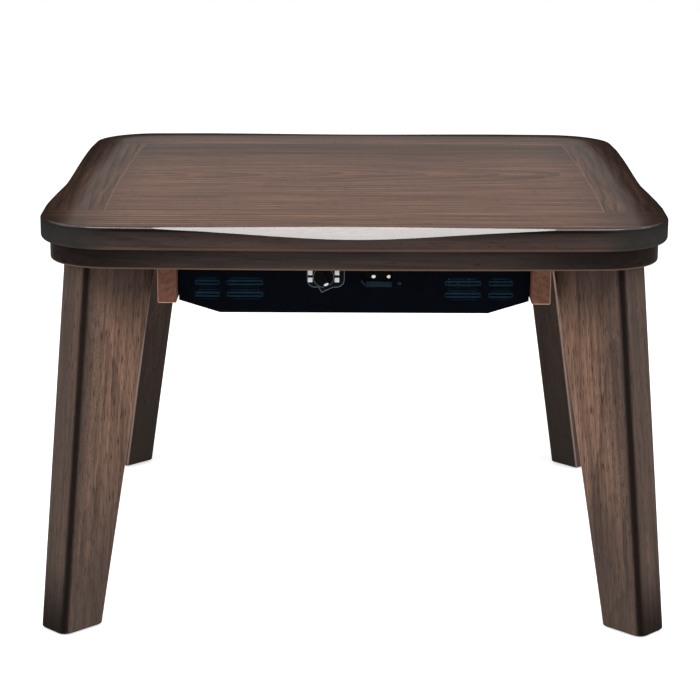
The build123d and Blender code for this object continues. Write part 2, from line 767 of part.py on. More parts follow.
def leads():
    """Inner wiring: inlet to terminals, terminals to thermostat and cut-out, and the heater's circuit."""
    near, far = terminal_y - lead_step, terminal_y
    top = heater_floor + sheet + terminal_height
    pin_end = inlet_rear + pin_tail
    rear = panel_back + thermostat_depth
    low, high, higher = [inlet_z + count * lead_step for count in (1, 2, 3)]
    pin_left, pin_right = pin_places
    first, second, third, fourth = [terminal_place(way) for way in range(terminal_ways)]
    feed_x, return_x = dial_x - lead_step / 2, dial_x + lead_step
    return_z = dial_z - lead_step
    inner_x, outer_x = lead_x
    front_row, rear_row = tube_rows()
    live = [(pin_left, pin_end, inlet_z), (pin_left, far, inlet_z), (first, far, inlet_z)]
    neutral = [(pin_right, pin_end, inlet_z), (pin_right, near, inlet_z), (second, near, inlet_z)]
    cutout = [(third, far, top), (third, far, low), (cutout_x, far, low)]
    feed = [(fourth, far, top), (fourth, far, high), (feed_x, far, high)]
    front_tube = [(cap_end, front_row, tube_z), (inner_x, front_row, tube_z)]
    front_tube += [(inner_x, cutout_middle, tube_z), (cutout_x + cutout_radius, cutout_middle, tube_z)]
    rear_tube = [(cap_end, rear_row, tube_z), (outer_x, rear_row, tube_z), (outer_x, behind, tube_z)]
    rear_tube += [(outer_x, behind, higher), (return_x, behind, higher), (return_x, behind, return_z)]
    link = [(-cap_end, front_row, tube_z), (-inner_x, front_row, tube_z)]
    link += [(-inner_x, rear_row, tube_z), (-cap_end, rear_row, tube_z)]
    live.append((first, far, top))
    neutral.append((second, near, top))
    cutout.append((cutout_x, cutout_front, low))
    feed.append((feed_x, rear, high))
    rear_tube.append((return_x, rear, return_z))
    return [lead(*path) for path in (live, neutral, cutout, feed, front_tube, rear_tube, link)]


def grommet_face():
    return Pos(sum(lead_x) / 2, tube_z) * SlotOverall(grommet_width, grommet_height)


def grommet():
    middle = bulkhead_y - sheet / 2
    ring_shape = along_y(grommet_face(), middle - sheet, middle + sheet)
    for x in lead_x:
        ring_shape -= rod(lead_radius, (x, middle - sheet, tube_z), (x, middle + sheet, tube_z))
    return ring_shape


def make_electrics():
    save("inlet_socket", inlet_socket())
    save("inlet_pins", [inlet_pin(x) for x in pin_places])
    save("inlet_screw", inlet_screw())
    floor = heater_floor + sheet
    x_range = (terminal_x - terminal_width / 2, terminal_x + terminal_width / 2)
    y_range = (terminal_y - terminal_depth / 2, terminal_y + terminal_depth / 2)
    save("terminal_block", block(x_range, y_range, (floor, floor + terminal_height)))
    top = floor + terminal_height
    screw_y = terminal_y + terminal_depth / 2 - terminal_screw_radius - terminal_edge
    ends = [((x, screw_y, top), (x, screw_y, top + terminal_screw_height))
            for x in [terminal_place(way) for way in range(terminal_ways)]]
    save("terminal_screws", [rod(terminal_screw_radius, low, high) for low, high in ends])
    cutout_ends = [(cutout_x, y, tube_z) for y in (cutout_front, cutout_back)]
    save("overheat_cutout", rod(cutout_radius, *cutout_ends))
    save("lead_wires", leads())
    save("lead_grommet", grommet())


# ---------------------------------------------------------------- heating compartment
def spacer_places():
    x = reflector_half_length - spacer_inset
    y = reflector_half_depth - spacer_inset
    return [(side_x * x, chamber_middle + side_y * y) for side_x in (-1, 1) for side_y in (-1, 1)]


def reflector():
    x_range = (-reflector_half_length, reflector_half_length)
    y_range = (chamber_middle - reflector_half_depth, chamber_middle + reflector_half_depth)
    tray = block(x_range, y_range, (reflector_top - reflector_skirt, reflector_top))
    inner_x = (x_range[0] + reflector_sheet, x_range[1] - reflector_sheet)
    inner_y = (y_range[0] + reflector_sheet, y_range[1] - reflector_sheet)
    tray -= block(inner_x, inner_y, (reflector_top - reflector_skirt, reflector_top - reflector_sheet))
    for x, y in spacer_places():
        hole = reflector_screw_radius + thread_clearance
        tray -= rod(hole, (x, y, reflector_top - reflector_sheet), (x, y, reflector_top))
    return tray


def spacer(x, y):
    low, high = (x, y, reflector_top), (x, y, heater_roof - sheet)
    return rod(spacer_radius, low, high) - rod(reflector_screw_radius + thread_clearance, low, high)


def reflector_screw(x, y):
    shank_end = reflector_top - reflector_sheet - sheet
    head = rod(reflector_screw_head_radius, (x, y, heater_roof), (x, y, heater_roof + sheet))
    return head + rod(reflector_screw_radius, (x, y, shank_end), (x, y, heater_roof))


def tube_rows():
    return [chamber_middle + side * tube_spread for side in (-1, 1)]


def along_tube(radius, start, end, y):
    return rod(radius, (start, y, tube_z), (end, y, tube_z))


def quartz_tube(y):
    bore = along_tube(tube_radius - tube_wall, -tube_half_length, tube_half_length, y)
    return along_tube(tube_radius, -tube_half_length, tube_half_length, y) - bore


def tube_cap(side, y):
    """Ceramic end cap, half of it over the tube."""
    start, end = side * (cap_end - cap_length), side * cap_end
    pocket = along_tube(tube_radius, start, side * tube_half_length, y)
    return along_tube(cap_radius, start, end, y) - pocket


def tube_bracket(side, y):
    """Hanging plate that holds a cap, bent over against the reflector."""
    middle = side * (cap_end - cap_length / 4)
    edges = (middle - bracket_thickness / 2, middle + bracket_thickness / 2)
    width = (y - bracket_width / 2, y + bracket_width / 2)
    top = reflector_top - reflector_sheet
    plate = block(edges, width, (tube_z - cap_radius - sheet, top))
    foot = sorted((middle, middle - side * cap_length))
    plate += block(foot, width, (top - bracket_thickness, top))
    return plate - along_tube(cap_radius, middle - cap_length, middle + cap_length, y)


def guard_frame():
    """Bent cross bars that follow the housing's section, joined to a strip on each side."""
    face = housing_face(sheet) - housing_face(sheet + wire)
    top = guard_floor + strip_height
    width = heater_half_width - sheet
    face -= Pos(0, top + heater_half_width) * Rectangle(2 * heater_half_width, 2 * heater_half_width)
    start, end = guard_ends
    strips = [block(sorted((side * (width - wire), side * width)), guard_ends, (guard_floor, top))
              for side in (-1, 1)]
    bar_step = (end - start - wire) / (guard_bars - 1)
    frame = strips[0] + strips[1]
    for index in range(guard_bars):
        front = start + index * bar_step
        frame += along_y(face, front, front + wire)
    for side in (-1, 1):
        for y in rivet_places:
            frame -= rod(rivet_radius, (side * (width - wire), y, rivet_z), (side * width, y, rivet_z))
    return frame


def guard_wires():
    """Straight wires from front to rear, laid on the cross bars across the floor and up the shoulders."""
    start, end = guard_ends
    bar = Box(wire, end - start, wire)
    lift = sheet + 1.5 * wire
    slope = atan2(shoulder_rise, shoulder_run)
    flat = heater_half_width - shoulder_run
    reach = int((flat - wire) / wire_pitch)
    middle = (start + end) / 2
    row = [index * wire_pitch for index in range(-reach, reach + 1)]
    wires = [Pos(x, middle, heater_floor + lift) * bar for x in row]
    climbs = int((hypot(shoulder_rise, shoulder_run) - wire_pitch) / wire_pitch) + 1
    for index in range(climbs):
        climb = (index + shoulder_share) * wire_pitch
        x = flat + climb * cos(slope) - lift * sin(slope)
        z = heater_floor + climb * sin(slope) + lift * cos(slope)
        for side in (-1, 1):
            wires.append(Pos(side * x, middle, z) * Rot(0, -side * degrees(slope), 0) * bar)
    return wires


def rivet(side, y):
    inner = heater_half_width - sheet - wire
    heads = [(inner - rivet_head, inner), (heater_half_width, heater_half_width + rivet_head)]
    body = rod(rivet_radius, (side * inner, y, rivet_z), (side * heater_half_width, y, rivet_z))
    for low, high in heads:
        body += rod(rivet_head_radius, (side * low, y, rivet_z), (side * high, y, rivet_z))
    return body


def make_heating():
    ends = [(side, y) for side in (-1, 1) for y in tube_rows()]
    save("reflector", reflector())
    save("reflector_spacers", [spacer(x, y) for x, y in spacer_places()])
    save("reflector_screws", [reflector_screw(x, y) for x, y in spacer_places()])
    save("quartz_tubes", [quartz_tube(y) for y in tube_rows()])
    reach, coil_radius = coil_half_length, tube_radius - tube_wall - coil_gap
    save("heating_coils", [along_tube(coil_radius, -reach, reach, y) for y in tube_rows()])
    save("tube_caps", [tube_cap(side, y) for side, y in ends])
    save("tube_brackets", [tube_bracket(side, y) for side, y in ends])
    save("guard_frame", guard_frame())
    save("guard_wires", guard_wires())
    save("guard_rivets", [rivet(side, y) for side in (-1, 1) for y in rivet_places])


make_top()
make_rim()
make_legs()
make_rails()
make_housing()
make_dial()
make_electrics()
make_heating()
print(len(written), "nodes written")
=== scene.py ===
import bpy
from math import radians
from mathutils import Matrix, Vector


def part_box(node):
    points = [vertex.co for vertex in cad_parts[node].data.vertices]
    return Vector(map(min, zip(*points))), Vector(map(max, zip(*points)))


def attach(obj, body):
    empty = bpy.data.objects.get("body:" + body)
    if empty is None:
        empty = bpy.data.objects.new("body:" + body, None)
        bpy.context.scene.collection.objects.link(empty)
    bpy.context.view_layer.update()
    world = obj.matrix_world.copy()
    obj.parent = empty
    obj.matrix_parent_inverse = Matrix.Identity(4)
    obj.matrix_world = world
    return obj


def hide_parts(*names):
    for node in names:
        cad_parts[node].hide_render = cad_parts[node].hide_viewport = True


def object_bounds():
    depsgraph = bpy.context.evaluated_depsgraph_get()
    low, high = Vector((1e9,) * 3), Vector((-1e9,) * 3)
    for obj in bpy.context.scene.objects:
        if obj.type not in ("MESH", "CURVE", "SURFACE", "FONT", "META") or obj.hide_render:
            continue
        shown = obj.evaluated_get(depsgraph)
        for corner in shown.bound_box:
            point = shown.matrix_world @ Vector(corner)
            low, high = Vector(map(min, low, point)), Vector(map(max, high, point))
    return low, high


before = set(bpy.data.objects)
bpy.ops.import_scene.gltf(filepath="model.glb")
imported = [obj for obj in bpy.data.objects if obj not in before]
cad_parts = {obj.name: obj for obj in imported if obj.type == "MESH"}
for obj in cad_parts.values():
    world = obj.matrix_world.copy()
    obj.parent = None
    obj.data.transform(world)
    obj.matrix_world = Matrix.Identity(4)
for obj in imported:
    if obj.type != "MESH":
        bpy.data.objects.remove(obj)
cadLow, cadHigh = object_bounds()
bpy.ops.object.select_all(action="DESELECT")
print("frame loaded,", len(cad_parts), "nodes")

quarterTurn = radians(90)
sideBoard = 0.058
# sizes of the table that the finishes follow, in metres
table = {
    "half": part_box("top_field")[1].x + sideBoard,
    "sideRadius": 5.629,            # big radius of each bulging side
    "boards": (0.084, sideBoard),   # widths of the front and rear boards, and of the left and right ones
    "height": cadHigh.z,
    "rimFloor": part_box("rim_front")[0].z,
    "legFoot": (0.3615, 0.409),     # a leg's inner and outer side along the diagonal, at the floor
    "legTop": (0.2845, 0.370),      # and under the rim
}


# short ways to write shader nodes: a socket given as a value is linked, anything else is set
def feed(tree, sockets, values):
    for name, value in values.items():
        if isinstance(value, bpy.types.NodeSocket):
            tree.links.new(value, sockets[name])
        else:
            sockets[name].default_value = value


def node(tree, kind, inputs, **settings):
    made = tree.nodes.new(kind)
    for name, value in settings.items():
        setattr(made, name, value)
    feed(tree, made.inputs, inputs)
    return made


def calc(tree, operation, first, second=0.0, third=0.0):
    return node(tree, "ShaderNodeMath", {0: first, 1: second, 2: third}, operation=operation).outputs[0]


def times(tree, first, second):
    return calc(tree, "MULTIPLY", first, second)


def vectorCalc(tree, operation, first, second=(0, 0, 0)):
    made = node(tree, "ShaderNodeVectorMath", {0: first, 1: second}, operation=operation)
    return made.outputs["Value" if operation in ("LENGTH", "DOT_PRODUCT") else "Vector"]


def unsigned(tree, vector):
    return vectorCalc(tree, "ABSOLUTE", vector)


def split(tree, vector):
    return node(tree, "ShaderNodeSeparateXYZ", {0: vector}).outputs


def join(tree, x, y, z):
    return node(tree, "ShaderNodeCombineXYZ", {0: x, 1: y, 2: z}).outputs[0]


def spread(tree, value, low, high, toLow=0.0, toHigh=1.0, smooth=True):
    # from toLow at low to toHigh at high; low may be the larger number
    kind = "SMOOTHSTEP" if smooth else "LINEAR"
    inputs = {"Value": value, "From Min": low, "From Max": high, "To Min": toLow, "To Max": toHigh}
    return node(tree, "ShaderNodeMapRange", inputs, interpolation_type=kind).outputs["Result"]


def blendColor(tree, factor, first, second):
    tones = [tone if isinstance(tone, bpy.types.NodeSocket) else (*tone, 1.0) for tone in (first, second)]
    return node(tree, "ShaderNodeMix", {0: factor, 6: tones[0], 7: tones[1]}, data_type="RGBA").outputs[2]


def noise(tree, vector, scale, detail, rough):
    inputs = {"Vector": vector, "Scale": scale, "Detail": detail, "Roughness": rough}
    return node(tree, "ShaderNodeTexNoise", inputs).outputs["Fac"]


def mapping(tree, vector, place=(0, 0, 0), turn=(0, 0, 0), scale=(1, 1, 1)):
    inputs = {"Vector": vector, "Location": place, "Rotation": turn, "Scale": scale}
    return node(tree, "ShaderNodeMapping", inputs).outputs["Vector"]


def stretchedNoise(tree, vector, stretch, detail, rough, scale=1.0):
    return noise(tree, mapping(tree, vector, scale=stretch), scale, detail, rough)


def bump(tree, height, distance):
    return node(tree, "ShaderNodeBump", {"Height": height, "Distance": distance}).outputs["Normal"]


def coordinates(tree, kind="Object"):
    return tree.nodes.new("ShaderNodeTexCoord").outputs[kind]


def newGroup(name, inputs, outputs):
    tree = bpy.data.node_groups.new(name, "ShaderNodeTree")
    for socketName, value in inputs.items():
        kind = "NodeSocketFloat" if isinstance(value, (int, float)) else "NodeSocketVector"
        socket = tree.interface.new_socket(socketName, in_out="INPUT", socket_type=kind)
        socket.default_value = value
    for socketName in outputs:
        tree.interface.new_socket(socketName, in_out="OUTPUT", socket_type="NodeSocketFloat")
    given = tree.nodes.new("NodeGroupInput").outputs
    result = tree.nodes.new("NodeGroupOutput").inputs
    return tree, given, result


def useGroup(tree, group, **inputs):
    return node(tree, "ShaderNodeGroup", inputs, node_tree=group).outputs


def newMaterial(name):
    material = bpy.data.materials.new(name)
    material.use_nodes = True
    tree = material.node_tree
    return material, tree, tree.nodes["Principled BSDF"].inputs


def dress(material, *names):
    for name in names:
        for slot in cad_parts[name].material_slots:
            slot.material = material


# In the dictionaries of finishes a pair is the from and to of a spread, and four numbers are its
# from and to and the results there. Lengths are in metres.
grainLook = {
    "given": {"Vector": (0, 0, 0), "RingsPerMetre": 90.0, "Depth": 0.12,
              "Taper": 0.1, "Warp": 0.01, "Seed": 0.0},
    "wander": {"stretch": (1, 3.2, 3.2), "scale": 4.0, "detail": 3.0, "rough": 0.55},
    "wanderMiddle": 0.5, "wanderRings": 60.0,
    "lateSharpness": 3.0,      # dark late wood at the end of each year
    "early": (0.0, 0.07),
    "fibre": {"stretch": (9.0, 330.0, 330.0), "detail": 3.0, "rough": 0.6},
    "streaks": {"stretch": (8.0, 150.0, 150.0), "detail": 3.0, "rough": 0.55},
    "bands": {"stretch": (1.2, 26.0, 26.0), "detail": 3.0, "rough": 0.55},
    "specks": {"stretch": (75.0, 1100.0, 1100.0), "detail": 1.0, "rough": 0.5},
    "pores": (0.62, 0.74), "poreDepth": -0.8,
}


def makeWoodGrain():
    # grain runs along X; growth rings are circles round a pith that lies Depth below the board
    outputs = ("Rings", "Fibre", "Streaks", "Bands", "Specks", "Height")
    tree, given, result = newGroup("woodGrain", grainLook["given"], outputs)
    place = vectorCalc(tree, "ADD", given["Vector"], join(tree, given["Seed"], given["Seed"], given["Seed"]))
    parts = split(tree, given["Vector"])
    wander = stretchedNoise(tree, place, **grainLook["wander"])
    wander = times(tree, calc(tree, "SUBTRACT", wander, grainLook["wanderMiddle"]), given["Warp"])
    across = calc(tree, "ADD", parts["Y"], wander)
    lean = calc(tree, "MULTIPLY_ADD", parts["X"], given["Taper"], given["Depth"])
    down = calc(tree, "ADD", calc(tree, "ADD", parts["Z"], lean), wander)
    radius = vectorCalc(tree, "LENGTH", join(tree, 0.0, across, down))
    ring = times(tree, radius, given["RingsPerMetre"])
    ring = calc(tree, "ADD", ring, times(tree, wander, grainLook["wanderRings"]))
    year = calc(tree, "FRACT", ring)
    late = calc(tree, "POWER", year, grainLook["lateSharpness"])
    rings = times(tree, late, spread(tree, year, *grainLook["early"]))
    fibre, streaks, bands, specks = [
        stretchedNoise(tree, place, **grainLook[name]) for name in ("fibre", "streaks", "bands", "specks")]
    pores = spread(tree, specks, *grainLook["pores"])
    height = calc(tree, "MULTIPLY_ADD", pores, grainLook["poreDepth"], fibre)
    feed(tree, result, dict(zip(outputs, (rings, fibre, streaks, bands, specks, height))))
    return tree


insetLook = {"cornerSoftness": 0.09}


def makeTopInset():
    # distance in from the bulging outline, from its left and right sides, and from the edge of the field
    tree, given, result = newGroup("topInset", {"Vector": (0, 0, 0)}, ("Edge", "Flank", "Field"))
    flat = vectorCalc(tree, "MULTIPLY", unsigned(tree, given["Vector"]), (1, 1, 0))
    back = table["sideRadius"] - table["half"]
    edges, boards = [], []
    for away, width in zip(((0, back, 0), (back, 0, 0)), table["boards"]):
        reach = vectorCalc(tree, "LENGTH", vectorCalc(tree, "ADD", flat, away))
        edges.append(calc(tree, "SUBTRACT", table["sideRadius"], reach))
        boards.append(calc(tree, "SUBTRACT", edges[-1], width))
    outline = calc(tree, "SMOOTH_MIN", *edges, insetLook["cornerSoftness"])
    feed(tree, result, {"Edge": outline, "Flank": edges[1], "Field": calc(tree, "MINIMUM", *boards)})
    return tree


wearLook = {
    "given": {"Vector": (0, 0, 0), "Size": 60.0},
    "mottle": {"detail": 5.0, "rough": 0.6},
    "speckScale": 22.0, "speck": {"detail": 2.0, "rough": 0.7},
    "scratchTurn": (0.3, 0.2, 0.7), "scratchStretch": (1, 26, 26), "scratchScale": 1.6,
    "scratch": {"detail": 2.0, "rough": 0.5}, "scratchShown": (0.66, 0.74),
}


def makeFineWear():
    # dust in the hollows and faint rubbing, for the plain finishes
    tree, given, result = newGroup("fineWear", wearLook["given"], ("Mottle", "Speck", "Scratch"))
    place, size = given["Vector"], given["Size"]
    mottle = noise(tree, place, size, **wearLook["mottle"])
    speck = noise(tree, place, times(tree, size, wearLook["speckScale"]), **wearLook["speck"])
    stretched = mapping(tree, place, turn=wearLook["scratchTurn"], scale=wearLook["scratchStretch"])
    scratch = noise(tree, stretched, times(tree, size, wearLook["scratchScale"]), **wearLook["scratch"])
    scratch = spread(tree, scratch, *wearLook["scratchShown"])
    feed(tree, result, {"Mottle": mottle, "Speck": speck, "Scratch": scratch})
    return tree


woodGrain = makeWoodGrain()
topInset = makeTopInset()
fineWear = makeFineWear()

# the dark outer tone serves both as a dark stain and as painted shade, and the light arris tones are painted
# highlights
stain = {
    "fieldLight": (0.168, 0.086, 0.056), "fieldDark": (0.060, 0.031, 0.022),
    "edgeLight": (0.176, 0.090, 0.058), "edgeDark": (0.052, 0.027, 0.019),
    "outer": (0.0060, 0.0045, 0.0040), "joint": (0.200, 0.115, 0.070), "glow": (0.270, 0.135, 0.070),
    "sideLight": (0.059, 0.041, 0.036), "sideDark": (0.031, 0.022, 0.020),
    "sideStainAndShade": (0.019, 0.021, 0.0195),
    "rimLight": (0.062, 0.045, 0.040), "rimDark": (0.029, 0.022, 0.020), "arrisHighlight": (0.210, 0.125, 0.085),
    "legLight": (0.325, 0.190, 0.133), "legDark": (0.090, 0.056, 0.043), "legOuter": (0.044, 0.036, 0.033),
    "legInner": (0.037, 0.030, 0.027), "legArrisHighlight": (0.420, 0.310, 0.260),
    "railLight": (0.250, 0.120, 0.080), "railDark": (0.130, 0.060, 0.043), "railArrisHighlight": (0.60, 0.36, 0.26),
    "raw": (0.560, 0.370, 0.200), "rawDark": (0.380, 0.220, 0.110),
}
figure = {
    "streaks": (0.35, 0.65), "bands": (0.3, 0.7), "fibres": (0.35, 0.7), "fibreShare": 0.35,
    "poreFade": 0.12, "poreTone": 0.35,
}


def stainedWood(tree, grain, light, dark, rings, streaks, bands, pores, poreShare=0.62):
    amount = times(tree, grain["Rings"], rings)
    amount = calc(tree, "MULTIPLY_ADD", spread(tree, grain["Streaks"], *figure["streaks"]), streaks, amount)
    amount = calc(tree, "MULTIPLY_ADD", spread(tree, grain["Bands"], *figure["bands"]), bands, amount)
    fibres = spread(tree, grain["Fibre"], *figure["fibres"])
    amount = calc(tree, "MULTIPLY_ADD", fibres, figure["fibreShare"], amount)
    color = blendColor(tree, calc(tree, "MINIMUM", amount, 1.0), light, dark)
    deep = spread(tree, grain["Specks"], poreShare, poreShare + figure["poreFade"], 0.0, pores)
    return blendColor(tree, deep, color, [figure["poreTone"] * part for part in dark])


lacquer = {
    "rough": 0.30, "fibres": (0.2, 0.8), "smoother": 0.05, "rougher": 0.08,
    "specular": 0.005, "bumpDepth": 0.00005,
}


def fibreRoughness(tree, grain, rough=lacquer["rough"]):
    low, high = lacquer["fibres"]
    return spread(tree, grain["Fibre"], low, high, rough - lacquer["smoother"], rough + lacquer["rougher"])


def finishWood(tree, surface, color, grain, roughness):
    feed(tree, surface, {
        "Base Color": color, "Roughness": roughness, "Specular IOR Level": lacquer["specular"],
        "Normal": bump(tree, grain["Height"], lacquer["bumpDepth"])})


polish = {
    "lean": (0.25, 0.5), "nearlyFlat": (0.985, 0.92),
    "frontOrRear": (-0.25, 0.15),
    "depth": 0.0125, "fade": 0.001,     # how far down from the top's surface it reaches
    "rough": 0.16,
}


def polishEdges(tree, surface, place, amount):
    # thick polish on the scoops and the rounded upper arris, where the surface leans outwards
    normal = coordinates(tree, "Normal")
    facing = split(tree, unsigned(tree, normal))
    lean = split(tree, normal)["Z"]
    band = times(tree, spread(tree, lean, *polish["lean"]), spread(tree, lean, *polish["nearlyFlat"]))
    turned = calc(tree, "SUBTRACT", facing["Y"], facing["X"])
    band = times(tree, band, spread(tree, turned, *polish["frontOrRear"]))
    floor = table["height"] - polish["depth"]
    upper = spread(tree, split(tree, place)["Z"], floor, floor + polish["fade"])
    weight = times(tree, times(tree, band, upper), amount)
    feed(tree, surface, {"Coat Weight": weight, "Coat Roughness": polish["rough"]})


def cornerShade(tree, place, start, end):
    flat = vectorCalc(tree, "MULTIPLY", unsigned(tree, place), (1, 1, 0))
    return spread(tree, vectorCalc(tree, "DOT_PRODUCT", flat, (1, 1, 0)), start, end)


sideLook = {
    "pattern": {"rings": 0.3, "streaks": 0.3, "bands": 0.3, "pores": 0.5},
    "upper": (0.016, 0.003, 0.0, 0.55),
    "lineStart": (0.0012, 0.0022), "lineEnd": (0.0048, 0.0036), "shadowLineShare": 0.9,
    "lowerHighlight": (0.0178, 0.0200, 0.0, 0.3),
    "sideways": (0.25, 0.7), "away": (0.10, 0.20),
    "corner": (0.512, 0.546), "shadeShare": 0.75,
}


def sideFace(tree, grain, place):
    # painted shade under the arris fading downwards, a painted shadow line just below the arris, and a
    # painted highlight on the lower round
    drop = calc(tree, "SUBTRACT", table["height"], split(tree, place)["Z"])
    color = stainedWood(tree, grain, stain["sideLight"], stain["sideDark"], **sideLook["pattern"])
    color = blendColor(tree, spread(tree, drop, *sideLook["upper"]), color, stain["outer"])
    line = times(tree, spread(tree, drop, *sideLook["lineStart"]), spread(tree, drop, *sideLook["lineEnd"]))
    color = blendColor(tree, times(tree, line, sideLook["shadowLineShare"]), color, stain["outer"])
    color = blendColor(tree, spread(tree, drop, *sideLook["lowerHighlight"]), color, stain["arrisHighlight"])
    # painted shade round the corners and on the outer parts of the left and right sides, where the faces turn
    # from the light, on top of a dark stain
    facing = split(tree, unsigned(tree, coordinates(tree, "Normal")))
    sideways = spread(tree, facing["X"], *sideLook["sideways"])
    away = spread(tree, split(tree, unsigned(tree, place))["Y"], *sideLook["away"])
    shade = cornerShade(tree, place, *sideLook["corner"])
    shade = calc(tree, "MAXIMUM", shade, times(tree, sideways, away))
    return blendColor(tree, times(tree, shade, sideLook["shadeShare"]), color, stain["sideStainAndShade"])


topLook = {
    "grain": {"RingsPerMetre": 105.0, "Warp": 0.014},
    "pattern": {"rings": 0.6, "streaks": 0.45, "bands": 0.3, "pores": 0.7, "poreShare": 0.56},
    "glow": (0.40, 0.28, 0.0, 0.3),
    "rear": (0.04, 0.20),
    "flankWidth": 0.1, "burstEnd": -0.006, "burstShare": 0.88,     # dark stain in from the outline, partly painted shade
    "jointMiddle": 0.0008, "joint": (0.0012, 0.0003, 0.0, 0.3),
    "side": (0.6, 0.3),
    "roughness": (0.66, 1.0, 0.30, 0.95),       # matt where the dark stain is thickest
}
edgeTones = (stain["edgeLight"], stain["edgeDark"])
sideGrain = {"Depth": 0.07, "Taper": 0.2}
# burst is how far in the dark stain reaches on each board; the short reach at the front and the longer
# reaches at the rear and sides are painted shade
topBoards = {
    "top_field": {
        "name": "framed field veneer", "turn": 0.0, "tones": (stain["fieldLight"], stain["fieldDark"]),
        "grain": {"Depth": 0.05, "Taper": 0.12, "Seed": 0.0}, "burst": 0.085, "polish": 1.0,
        "paintedRearShade": 0.48},
    "top_edge_front": {
        "name": "front edge board", "turn": 0.0, "tones": edgeTones,
        "grain": {"Depth": 0.09, "Taper": 0.05, "Seed": 3.7}, "burst": 0.02, "polish": 1.0},
    "top_edge_rear": {
        "name": "rear edge board", "turn": 0.0, "tones": edgeTones,
        "grain": {"Depth": 0.11, "Taper": 0.05, "Seed": 8.2}, "burst": 0.075, "polish": 1.0},
    "top_edge_left": {
        "name": "left edge board", "turn": quarterTurn, "tones": edgeTones,
        "grain": {**sideGrain, "Seed": 5.3}, "burst": 0.1, "polish": 0.05},
    "top_edge_right": {
        "name": "right edge board", "turn": quarterTurn, "tones": edgeTones,
        "grain": {**sideGrain, "Seed": 6.9}, "burst": 0.1, "polish": 0.05},
}


def topWood(board):
    material, tree, surface = newMaterial(board["name"])
    place = coordinates(tree)
    along = mapping(tree, place, place=(0, 0, -table["height"]), turn=(0, 0, board["turn"]))
    grain = useGroup(tree, woodGrain, Vector=along, **topLook["grain"], **board["grain"])
    inset = useGroup(tree, topInset, Vector=place)
    color = stainedWood(tree, grain, *board["tones"], **topLook["pattern"])
    color = blendColor(tree, spread(tree, grain["Streaks"], *topLook["glow"]), color, stain["glow"])
    # painted shade: the field darkens towards the rear, where less light falls
    if "paintedRearShade" in board:
        rear = spread(tree, split(tree, place)["Y"], *topLook["rear"], 0.0, board["paintedRearShade"])
        color = blendColor(tree, rear, color, stain["outer"])
    # dark stain in from the outline and from the left and right sides; that it reaches further in at the rear
    # and sides than at the front is painted shade
    burst = spread(tree, inset["Edge"], board["burst"], topLook["burstEnd"])
    flank = spread(tree, inset["Flank"], topLook["flankWidth"], topLook["burstEnd"])
    burst = calc(tree, "MAXIMUM", burst, flank)
    color = blendColor(tree, times(tree, burst, topLook["burstShare"]), color, stain["outer"])
    fromJoint = calc(tree, "ABSOLUTE", calc(tree, "SUBTRACT", inset["Field"], topLook["jointMiddle"]))
    color = blendColor(tree, spread(tree, fromJoint, *topLook["joint"]), color, stain["joint"])
    upright = spread(tree, split(tree, coordinates(tree, "Normal"))["Z"], *topLook["side"])
    color = blendColor(tree, upright, color, sideFace(tree, grain, place))
    finishWood(tree, surface, color, grain, spread(tree, burst, *topLook["roughness"]))
    polishEdges(tree, surface, place, board["polish"])
    return material


rimLook = {
    "grain": {"RingsPerMetre": 120.0, "Depth": -0.2, "Taper": 0.05},
    "pattern": {"rings": 0.4, "streaks": 0.3, "bands": 0.3, "pores": 0.5},
    "corner": (0.38, 0.54), "cornerShare": 0.78,
    "arrisTop": (0.0026, 0.0006), "arrisFloor": (-0.0003, 0.0003), "arrisHighlightShare": 0.6,
}
rimBoards = {
    "rim wood": {"turn": 0.0, "seed": 1.4, "nodes": ("rim_front", "rim_rear")},
    "rim wood across": {"turn": quarterTurn, "seed": 2.9, "nodes": ("rim_left", "rim_right")},
}


def rimWood(name, board):
    material, tree, surface = newMaterial(name)
    place = coordinates(tree)
    along = mapping(tree, place, turn=(0, 0, board["turn"]))
    grain = useGroup(tree, woodGrain, Vector=along, Seed=board["seed"], **rimLook["grain"])
    color = stainedWood(tree, grain, stain["rimLight"], stain["rimDark"], **rimLook["pattern"])
    corner = cornerShade(tree, place, *rimLook["corner"])
    color = blendColor(tree, times(tree, corner, rimLook["cornerShare"]), color, stain["outer"])
    # a painted highlight along the lower arris
    rise = calc(tree, "SUBTRACT", split(tree, place)["Z"], table["rimFloor"])
    arris = times(tree, spread(tree, rise, *rimLook["arrisTop"]), spread(tree, rise, *rimLook["arrisFloor"]))
    color = blendColor(tree, times(tree, arris, rimLook["arrisHighlightShare"]), color, stain["arrisHighlight"])
    finishWood(tree, surface, color, grain, fibreRoughness(tree, grain))
    return material


legLook = {
    "firstAngle": 45, "nextAngle": 90, "nextSeed": 1.7,
    "grain": {"RingsPerMetre": 150.0, "Depth": 0.25, "Taper": 0.03, "Warp": 0.01},
    "pattern": {"rings": 0.25, "streaks": 0.35, "bands": 0.35, "pores": 0.85, "poreShare": 0.55},
    "spray": {"scale": 620.0, "detail": 2.0, "rough": 0.6}, "sprayShare": 0.5, "sprayMiddle": 0.25,
    "outerSide": (0.42, 0.98, 0.0, 0.78), "top": (0.76, 0.98, 0.0, 0.72), "lower": (0.66, 0.08, 0.0, 0.74),
    "foot": (0.22, 0.0), "footCorner": (0.90, 0.99), "footShare": 0.85,
    "rounds": (0.24, 0.62), "outwards": (-0.05, 0.05), "outerShadeShare": 0.92, "innerHighlightShare": 0.6,
    "innerEnd": (-0.6, -0.95, 0.0, 0.85),
}


